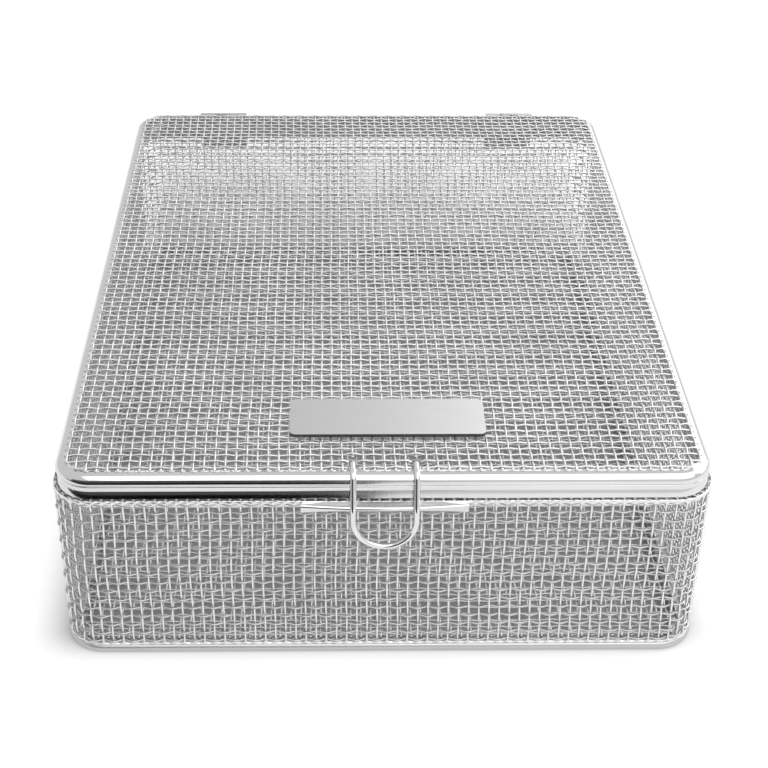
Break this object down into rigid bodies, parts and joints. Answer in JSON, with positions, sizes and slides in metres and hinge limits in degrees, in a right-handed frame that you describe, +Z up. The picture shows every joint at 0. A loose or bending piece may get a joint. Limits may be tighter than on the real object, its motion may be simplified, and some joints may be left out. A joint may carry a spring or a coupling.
{
  "type": "wire basket with hinged lid",
  "caption": "Shallow rectangular woven-wire basket with rounded corners, a flat mesh lid hinged along the back and a swinging wire latch over a lip at the front.",
  "frame": {"origin": "on the floor, under the middle of the basket's bounding box", "axes": "+X to the right seen from the latch side, +Y from the latch to the hinges, +Z up"},
  "size_m": [0.1598, 0.2242, 0.0564],
  "materials": {
    "polished_strip": "electropolished stainless strip",
    "woven_wire": "bright drawn stainless wire",
    "satin_sheet": "satin stainless sheet",
    "bright_wire": "polished stainless wire"
  },
  "bodies": {
    "basket": {"basket_rim": "polished_strip", "wall_mesh": "woven_wire", "base_frame": "polished_strip", "base_mesh": "woven_wire", "catch_lip": "satin_sheet", "basket_leaf_left": "satin_sheet", "basket_leaf_right": "satin_sheet", "hinge_pin_left": "bright_wire", "hinge_pin_right": "bright_wire"},
    "lid": {"lid_frame": "polished_strip", "lid_mesh": "woven_wire", "name_plate": "satin_sheet", "lid_strap_left": "satin_sheet", "lid_strap_right": "satin_sheet", "bail_hook_left": "satin_sheet", "bail_hook_right": "satin_sheet"},
    "bail": {"latch_bail": "bright_wire"}
  },
  "joints": [
    {"name": "lid_hinge", "type": "hinge", "parent": "basket", "child": "lid", "pos_m": [0, 0.11021, 0.05175], "axis": [-1, 0, 0], "range_deg": [0, 180]},
    {"name": "bail_swing", "type": "hinge", "parent": "lid", "child": "bail", "pos_m": [0, -0.1032, 0.0536], "axis": [-1, 0, 0], "range_deg": [0, 90]}
  ]
}
